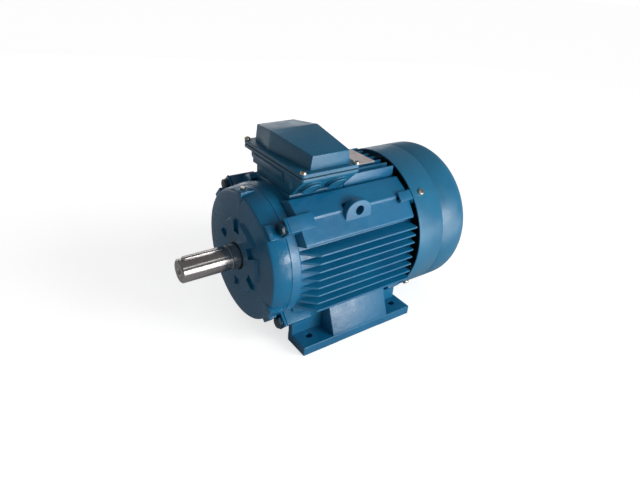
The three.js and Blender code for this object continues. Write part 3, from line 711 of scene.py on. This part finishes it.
def build_drive_endshield():
    shell = turned("drive_endshield_casting", [
        (HUB_FACE, SEAL_RADIUS + 0.3), (HUB_FACE, HUB_RADIUS - 2.6), (HUB_FACE + 0.9, HUB_RADIUS - 1.4),
        (SHIELD_FACE - 1.0, HUB_RADIUS - 0.2), (SHIELD_FACE, HUB_RADIUS + 1.0),
        (SHIELD_FACE, 104.0), (-148.9, 106.0), (-147.2, 107.5), (-120.8, 111.9), (-120.3, 111.4),
        (-120.3, SPIGOT_RADIUS), (-112.0, SPIGOT_RADIUS), (-112.0, SPIGOT_BORE),
        (-141.0, 92.0), (-141.0, 50.0), (-124.0, 47.0), (-124.0, BEARING_SEAT),
        (-146.3, BEARING_SEAT), (-146.3, 21.5), (-147.6, 21.5),
        (-147.6, SEAL_RADIUS + 0.3),
    ], steps=128)
    cut(shell, *[hub_notch(30.0 + 60.0 * index) for index in range(6)])
    parts = [radial_block("lug", LUG_FRONT, -120.3, SHIELD_LUG_ROOT, DRIVE_LUG_OUT, FRONT_LUG_WIDTH, turn)
             for turn in BOLT_TURNS]
    parts += [radial_block("ramp", -146.0, LUG_FRONT - 7.2, 98, 114, FRONT_LUG_WIDTH, turn, LUG_EDGE)
              for turn in BOLT_TURNS]
    parts += [rim_boss(turn) for turn in (90.0, 210.0, 330.0)]
    join(shell, *parts)
    tools = [around(rod("hole", (-132, FRONT_BOLT_OUT, SHAFT_Z), (1, 0, 0), 14, 6.5), turn)
             for turn in BOLT_TURNS]
    tools.append(rod("plug_hole", (GREASE_PLUG_X, GREASE_PLUG_Y, 215), (0, 0, 1), 35, 3.6))
    cut(shell, *tools)
    finish_piece(smooth(shell), "endshield_paint", "frame", "drive_endshield")


def build_rear_endshield():
    shell = turned("rear_endshield_casting", [
        (136, 15.8), (136, 51), (135, 52.5), (132, 57), (131, 59), (131, 98), (130, 100.5), (119, 111.8),
        (118.3, 111.2), (118.3, SPIGOT_RADIUS), (110, SPIGOT_RADIUS), (110, SPIGOT_BORE), (124, 90),
        (124, 52), (106, 48), (106, BEARING_SEAT), (128.3, BEARING_SEAT), (128.3, 15.8),
    ])
    parts = [radial_block("lug", 118.3, 129, SHIELD_LUG_ROOT, COVER_LUG_OUT, FRONT_LUG_WIDTH, turn)
             for turn in BOLT_TURNS]
    parts += [radial_block("lug", 126, 148, 120.5, COVER_LUG_OUT, COVER_LUG_WIDTH, turn)
              for turn in BOLT_TURNS]
    join(shell, *parts)
    tools = [around(rod("hole", (109, REAR_BOLT_OUT, SHAFT_Z), (1, 0, 0), 26, 5.6), turn)
             for turn in BOLT_TURNS]
    tools += [around(rod("hole", (COVER_SCREW_X, 117, SHAFT_Z), (0, 1, 0), 14, 3.5), turn)
              for turn in BOLT_TURNS]
    cut(shell, *tools)
    finish_piece(smooth(shell), "endshield_paint", "frame", "rear_endshield")


# ---- Shaft ---------------------------------------------------------------
SHAFT_END = -250
SHAFT_RADIUS = 19
BEARING_JOURNAL = 20
CORE_RADIUS = 25.5
REAR_RADIUS = 15
KEY_HALF_WIDTH = 5.0
KEY_FRONT = -245.0
KEY_REAR = -175.0
KEY_GAP = 0.3


def key_outline(x0, x1, half):
    return arc((x1 - half, 0.0), half, -90.0, 90.0, 10) + arc((x0 + half, 0.0), half, 90.0, 270.0, 10)


def build_shaft():
    shaft = turned("shaft_turned", [
        (SHAFT_END, 0), (SHAFT_END, 17.2), (-248.2, SHAFT_RADIUS), (-170.6, SHAFT_RADIUS),
        (-170.6, 18.6), (-170, 18.6), (-170, 19.6), (-169.6, BEARING_JOURNAL), (-127.7, BEARING_JOURNAL),
        (-127.7, CORE_RADIUS), (108.3, CORE_RADIUS), (108.3, BEARING_JOURNAL), (128, BEARING_JOURNAL),
        (128, REAR_RADIUS), (203, REAR_RADIUS), (204, 14), (204, 0),
    ], closed=False)
    centre = turned("centre", [
        (SHAFT_END - 1, 0), (SHAFT_END - 1, 8.2), (-247.6, 5.0), (-244, 4.2), (-226, 4.2), (-224, 0),
    ], steps=48, closed=False)
    keyway_floor = SHAFT_Z + 14.0
    keyway = prism("keyway", key_outline(KEY_FRONT, KEY_REAR, KEY_HALF_WIDTH), "Z", keyway_floor,
                   SHAFT_Z + 24.0)
    cut(shaft, centre, keyway)
    finish_piece(smooth(shaft, 25.0), "shaft_steel", "rotor", "shaft")
    outline = key_outline(KEY_FRONT + KEY_GAP, KEY_REAR - KEY_GAP, KEY_HALF_WIDTH - KEY_GAP)
    key = prism("key_fitted", outline, "Z", keyway_floor + KEY_GAP, SHAFT_Z + 22.0)
    finish_piece(smooth(rounded(key, 0.5, 2)), "shaft_steel", "rotor", "shaft_key")
    seal = turned("shaft_lip_seal", [
        (-153.9, 20.3), (-153.9, 21.0), (-153.2, 21.4), (-153.2, 21.8), (-153.8, 22.1), (-153.8, 22.4),
        (-148.0, 22.4), (-148.0, 20.3),
    ])
    finish_piece(smooth(seal), "rubber", "rotor", "shaft_seal")


# ---- Fasteners -----------------------------------------------------------
def hexagon(radius):
    turns = [math.radians(60 * i) for i in range(6)]
    return [(radius * math.cos(turn), radius * math.sin(turn)) for turn in turns]


def hex_head(name, x0, x1, radius, out, turn):
    """A hexagon head along X, with its outer corners chamfered by a cone."""
    outline = [(out + a, SHAFT_Z + b) for a, b in hexagon(radius)]
    head = prism(name, outline, "X", min(x0, x1), max(x0, x1))
    reach = abs(x1 - x0)
    forward = 1.0 if x1 > x0 else -1.0
    cone = turned("cone", [
        (x0 - forward * 0.5, 0), (x0 - forward * 0.5, radius + 2),
        (x0 + forward * (reach - 2.2), radius + 0.4), (x1, radius * 0.84), (x1, 0),
    ], (out, SHAFT_Z), 48, closed=False)
    boolean(head, [cone], "INTERSECT")
    return around(rounded(head, 0.3, 1), turn)


# Each kind of endshield bolt: head's seat and crown, head radius, distance out, then start, thickness
# and radius of the washer, and start, length and radius of the shank.
ENDSHIELD_BOLTS = {
    "drive": (-126.4, -131.7, 10.4, FRONT_BOLT_OUT, (-126.5, 1.2, 10.4), (-128, 35, 6.0)),
    "rear": (130.6, 136.3, 9.2, REAR_BOLT_OUT, (129.3, 1.4, 9.6), (97, 36, 5.0)),
}


def endshield_bolt(end, index, turn):
    seat, crown, head_radius, out, washer_sizes, shank_sizes = ENDSHIELD_BOLTS[end]
    head = hex_head(f"{end}_bolt_head_{index}", seat, crown, head_radius, out, turn)
    start, thickness, radius = washer_sizes
    washer = rod("washer", (start, out, SHAFT_Z), (1, 0, 0), thickness, radius, 40, 0.3)
    start, length, radius = shank_sizes
    shank = rod("shank", (start, out, SHAFT_Z), (1, 0, 0), length, radius)
    join(head, around(washer, turn), around(shank, turn))
    finish_piece(smooth(head), "bolt_paint", "frame", f"{end}_endshield_bolt_{index}")


def build_endshield_bolts():
    for index, turn in enumerate(BOLT_TURNS, 1):
        for end in ENDSHIELD_BOLTS:
            endshield_bolt(end, index, turn)


def pan_head(name, place, axis, radius, height, shank_radius, shank_length):
    """A pan-head screw with a cross recess. Its seat is at place and its head stands along axis."""
    profile = [(-shank_length, 0), (-shank_length, shank_radius), (0, shank_radius), (0, radius),
               (height * 0.35, radius), (height * 0.75, radius * 0.86), (height * 0.95, radius * 0.6),
               (height, 0)]
    screw = turned(name, profile, (0.0, 0.0), 40, closed=False)
    arm = radius * 0.55
    half = 0.6
    for y, z in ((arm, half), (half, arm)):
        cut(screw, block("cross", height * 0.45, height + 1, -y, y, -z, z))
    turn = Vector((1.0, 0.0, 0.0)).rotation_difference(Vector(axis)).to_matrix().to_4x4()
    screw.data.transform(Matrix.Translation(Vector(place) * MM) @ turn)
    return smooth(screw)


def build_cover_screws():
    for index, turn in enumerate(BOLT_TURNS, 1):
        seat = (COVER_SCREW_X, COVER_RADIUS + 0.1, SHAFT_Z)
        screw = pan_head(f"cover_screw_pan_{index}", seat, (0, 1, 0), 5.8, 3.6, 3.0, 10.0)
        finish_piece(around(screw, turn), "zinc_steel", "frame", f"fan_cover_screw_{index}")


# ---- Cooling fan and fan cover -------------------------------------------
COVER_RADIUS = 131.3
COVER_FRONT = 120.7
COVER_REAR = 250.0
COVER_ROUND = 36.0
COVER_SHEET = 2.0
COVER_SEAM = 176.0
GRILLE_SECTORS = 6
GRILLE_RADII = (30.0, 46.0, 62.0, 78.0)
GRILLE_SLOT = 8.0
GRILLE_BAR = 8.0
FAN_BLADES = 8
BLADE_HALF = 1.6


def build_fan():
    hub = turned("fan_moulding", [
        (156, 15.3), (156, 23.5), (156.5, 24), (191.5, 24), (192, 23.5), (192, 15.3),
    ])
    disc = turned("disc", [
        (157, 22), (159, 70), (162, 107.5), (163.5, 108), (165, 107.5), (162, 70), (160.5, 22),
    ])
    outline = [(159, 20), (163.5, 106.5), (196, 106.5), (196, 62), (184, 20)]
    blades = []
    for index in range(FAN_BLADES):
        blade = prism("blade", outline, "Z", SHAFT_Z - BLADE_HALF, SHAFT_Z + BLADE_HALF)
        blades.append(around(rounded(blade, 0.7), 360.0 / FAN_BLADES * index))
    join(hub, disc, *blades)
    finish_piece(smooth(hub), "fan_plastic", "rotor", "cooling_fan")


def grille_slot(inner_radius, sector):
    """A curved slot in the cover's end, between two of its straight bars."""
    half = 180.0 / GRILLE_SECTORS - math.degrees(GRILLE_BAR / 2 / inner_radius)
    turn = 360.0 * sector / GRILLE_SECTORS
    outline = arc((0.0, SHAFT_Z), inner_radius, turn - half, turn + half, 12)
    outline += arc((0.0, SHAFT_Z), inner_radius + GRILLE_SLOT, turn + half, turn - half, 12)
    return prism("slot", outline, "X", COVER_REAR - 8, COVER_REAR + 4)


def build_fan_cover():
    centre = (COVER_REAR - COVER_ROUND, COVER_RADIUS - COVER_ROUND)
    outer = arc(centre, COVER_ROUND, 90.0, 0.0, 16)
    inner = arc(centre, COVER_ROUND - COVER_SHEET, 0.0, 90.0, 16)
    profile = [(COVER_FRONT, COVER_RADIUS - COVER_SHEET), (COVER_FRONT, COVER_RADIUS - 0.4),
               (COVER_FRONT + 0.4, COVER_RADIUS), (COVER_SEAM - 1.0, COVER_RADIUS),
               (COVER_SEAM, COVER_RADIUS - 0.6), (COVER_SEAM + 1.0, COVER_RADIUS)]
    profile += outer + [(COVER_REAR, 0), (COVER_REAR - COVER_SHEET, 0)] + inner
    cover = turned("fan_cover_pressing", profile, steps=160)
    tools = [grille_slot(radius, sector) for radius in GRILLE_RADII for sector in range(GRILLE_SECTORS)]
    tools += [around(rod("hole", (COVER_SCREW_X, 124, SHAFT_Z), (0, 1, 0), 12, 3.4), turn)
              for turn in BOLT_TURNS]
    cut(cover, *tools)
    finish_piece(smooth(cover), "cover_paint", "frame", "fan_cover")


# ---- Terminal box --------------------------------------------------------
FLANGE_FRONT = -92.8
FLANGE_REAR = 11.7
FLANGE_NEAR = -84.3
FLANGE_FAR = 91.0
FLANGE_CORNER = 5.0
GASKET_BOTTOM = 281.3
GASKET_TOP = 282.3
LID_BOTTOM = 282.6
LID_TOP = 288.5
LID_WALL = 4.0
BOX_WALL = 4.5
BOX_WELL_NEAR = -70
BOX_WELL_FAR = 63.8
NECK_WELL = 45.5
# The hood's cross-sections along Y: place, front, rear and height of the top.
HOOD = [(-74.0, -73.1, 0.0, 310.0), (26.0, -84.9, 10.2, 320.5), (77.0, -79.3, -3.0, 315.5)]
HOOD_LEAN = 3.4
LID_SCREW_INSET = 4.5
SCREW_PLACES = [(x, y) for y in (FLANGE_NEAR + LID_SCREW_INSET, FLANGE_FAR - LID_SCREW_INSET)
                for x in (FLANGE_FRONT + LID_SCREW_INSET, FLANGE_REAR - LID_SCREW_INSET)]
LID_SCREW_HOLE = 3.3
ENTRY_XS = (-67.0, -20.0)
ENTRY_RADIUS = 15.6
ENTRY_Y = -68.5
ENTRY_Z = 261.0
ENTRY_OUT = Vector((0.0, -math.sqrt(0.5), -math.sqrt(0.5)))


def rounded_rectangle(x0, x1, y0, y1, radius, steps=5):
    outline = arc((x1 - radius, y0 + radius), radius, -90, 0, steps)
    outline += arc((x1 - radius, y1 - radius), radius, 0, 90, steps)
    outline += arc((x0 + radius, y1 - radius), radius, 90, 180, steps)
    outline += arc((x0 + radius, y0 + radius), radius, 180, 270, steps)
    return outline


def flange_plate(name, z0, z1, inset=0.0, edge=0.8):
    outline = rounded_rectangle(FLANGE_FRONT + inset, FLANGE_REAR - inset, FLANGE_NEAR + inset,
                                FLANGE_FAR - inset, FLANGE_CORNER)
    return rounded(prism(name, outline, "Z", z0, z1), edge, 2)


def entry_rod(name, x, out_from, out_to, radius, edge=0.0):
    """A round bar square to the sloping near wall, from one height over it to another."""
    start = Vector((x, ENTRY_Y, ENTRY_Z)) + ENTRY_OUT * out_from
    return rod(name, start, ENTRY_OUT, out_to - out_from, radius, 64, edge)


def screw_holes(z0, z1):
    return [rod("hole", (x, y, z0), (0, 0, 1), z1 - z0, LID_SCREW_HOLE, 24) for x, y in SCREW_PLACES]


def well(name, z0, z1):
    """The clear space inside the terminal box's rim."""
    return block(name, BOX_FRONT + BOX_WALL, BOX_REAR - BOX_WALL, BOX_WELL_NEAR, BOX_WELL_FAR, z0, z1)


def hood_hull(name, inset, foot):
    """The lid's raised hood as one convex body, or the hollow in it when inset is the wall."""
    work = bmesh.new()
    for y, front, rear, top in HOOD:
        along = y - math.copysign(inset, y) if abs(y) > 50 else y
        for x, z in ((front + inset, foot), (rear - inset, foot),
                     (front + inset + HOOD_LEAN, top - inset), (rear - inset - HOOD_LEAN, top - inset)):
            work.verts.new(Vector((x, along, z)) * MM)
    hull = bmesh.ops.convex_hull(work, input=work.verts)
    bmesh.ops.delete(work, geom=list(set(hull["geom_interior"])), context="VERTS")
    bmesh.ops.dissolve_limit(work, angle_limit=math.radians(2.0), verts=work.verts, edges=work.edges)
    bmesh.ops.recalc_face_normals(work, faces=work.faces)
    mesh = bpy.data.meshes.new(name)
    work.to_mesh(mesh)
    work.free()
    piece = bpy.data.objects.new(name, mesh)
    bpy.context.scene.collection.objects.link(piece)
    return piece


def build_box_base():
    outline = [(-82, 278), (-82, 274.5), (-55, 247.5), (-BOX_NECK, 243.8), (BOX_NECK, 243.8), (50, 259),
               (51, 262), (54, 264), (64, 265), (67.2, 266.4), (68.3, 269), (68.3, 278)]
    body = rounded(prism("terminal_box_casting", outline, "X", BOX_FRONT, BOX_REAR), 2.2, 3, 20.0)
    pad = rounded(block("pad", BOX_FRONT - 1.6, BOX_FRONT + 2, -32, 60, 259.5, 273.5), 0.8, 2)
    corner = rod("corner", (BOX_FRONT + 2.2, -53.0, 256.0), (0, 0, 1), 20.0, 4.6, 32, 0.6)
    collars = [entry_rod("collar", x, -2.0, 2.2, ENTRY_RADIUS + 2.0, 0.6) for x in ENTRY_XS]
    join(body, flange_plate("flange", 276.0, 281.0), pad, corner, *collars)
    tools = [block("neck", BOX_FRONT + BOX_WALL, BOX_REAR - BOX_WALL, -NECK_WELL, NECK_WELL, 248.5, 282.0),
             well("rim", 270, 282.0),
             block("lead_opening", -60, -20, -25, 25, 242.0, 250.0)]
    tools += [entry_rod("entry", x, -16.0, 4.0, ENTRY_RADIUS - 2.2) for x in ENTRY_XS]
    tools += screw_holes(275.0, 283.0)
    cut(body, *tools)
    finish_piece(smooth(body), "box_paint", "frame", "terminal_box_base")


def build_entry_plugs():
    for index, x in enumerate(ENTRY_XS, 1):
        plug = entry_rod(f"entry_plug_{index}", x, 2.5, 5.8, ENTRY_RADIUS, 0.9)
        join(plug, entry_rod("thread", x, -7.0, 3.0, ENTRY_RADIUS - 2.6))
        cut(plug, entry_rod("dish", x, 4.9, 8.0, ENTRY_RADIUS - 3.0))
        finish_piece(smooth(plug), "box_paint", "frame", f"cable_entry_plug_{index}")


def build_lid():
    gasket = flange_plate("lid_gasket_sheet", GASKET_BOTTOM, GASKET_TOP, 0.6, 0.2)
    cut(gasket, well("hollow", 280.0, 284.0), *screw_holes(280.0, 284.0))
    finish_piece(smooth(gasket), "rubber", "frame", "lid_gasket")

    lid = flange_plate("terminal_box_cover", LID_BOTTOM, LID_TOP)
    join(lid, rounded(hood_hull("hood", 0.0, LID_TOP - 2.0), 1.6, 3, 5.0))
    cut(lid, hood_hull("hollow", LID_WALL, LID_TOP - 12.0), *screw_holes(280.0, 290.0))
    finish_piece(smooth(lid, 20.0), "box_paint", "frame", "terminal_box_lid")
    for index, (x, y) in enumerate(SCREW_PLACES, 1):
        screw = pan_head(f"lid_screw_pan_{index}", (x, y, LID_TOP + 0.2), (0, 0, 1), 5.0, 4.2, 3.0, 12.0)
        finish_piece(screw, "zinc_steel", "frame", f"lid_screw_{index}")


# ---- Nameplate and grease plug -------------------------------------------
PLATE_CORNER = 3.0
PLATE_THICKNESS = 0.9
PIN_INSET = 4.0
PIN_PROFILE = [(0.0, 0.0), (0.0, 2.0), (0.9, 1.8), (1.4, 1.2), (1.6, 0.0)]


def nameplate_pin(x, y, z):
    pin = turned("pin", PIN_PROFILE, (0.0, 0.0), 20, closed=False)
    upright = Matrix.Rotation(math.radians(-90.0), 4, "Y")
    pin.data.transform(Matrix.Translation(Vector((x, y, z)) * MM) @ upright)
    return pin


def build_nameplate():
    low, high = node_box("nameplate")
    outline = rounded_rectangle(low[0], high[0], low[1], high[1], PLATE_CORNER)
    plate = rounded(prism("nameplate_blank", outline, "Z", low[2], low[2] + PLATE_THICKNESS), 0.2, 1)
    pins = [nameplate_pin(x, y, low[2] + 0.5)
            for x in (low[0] + PIN_INSET, high[0] - PIN_INSET)
            for y in (low[1] + PIN_INSET, high[1] - PIN_INSET)]
    join(plate, *pins)
    finish_piece(smooth(plate), "nameplate_metal", "frame", "nameplate")


def build_grease_plug():
    plug = rod("grease_plug_stem", (GREASE_PLUG_X, GREASE_PLUG_Y, 230), (0, 0, 1), 15.8, 3.2, 24)
    head = rod("head", (GREASE_PLUG_X, GREASE_PLUG_Y, 244.8), (0, 0, 1), 2.6, 4.4, 32, 0.9)
    join(plug, head)
    finish_piece(smooth(plug), "zinc_steel", "frame", "drive_grease_plug")


# ---- Build ---------------------------------------------------------------
make_camera()
make_lights()
make_stage()
build_frame()
build_drive_endshield()
build_rear_endshield()
build_shaft()
build_endshield_bolts()
build_fan()
build_fan_cover()
build_cover_screws()
build_box_base()
build_entry_plugs()
build_lid()
build_nameplate()
build_grease_plug()

slot_of = {part["node"]: part["material_slot"] for part in frame["record"]["subparts"]}
for node, piece in frame["nodes"].items():
    for material_slot in piece.material_slots:
        material_slot.material = finishes[slot_of[node]]
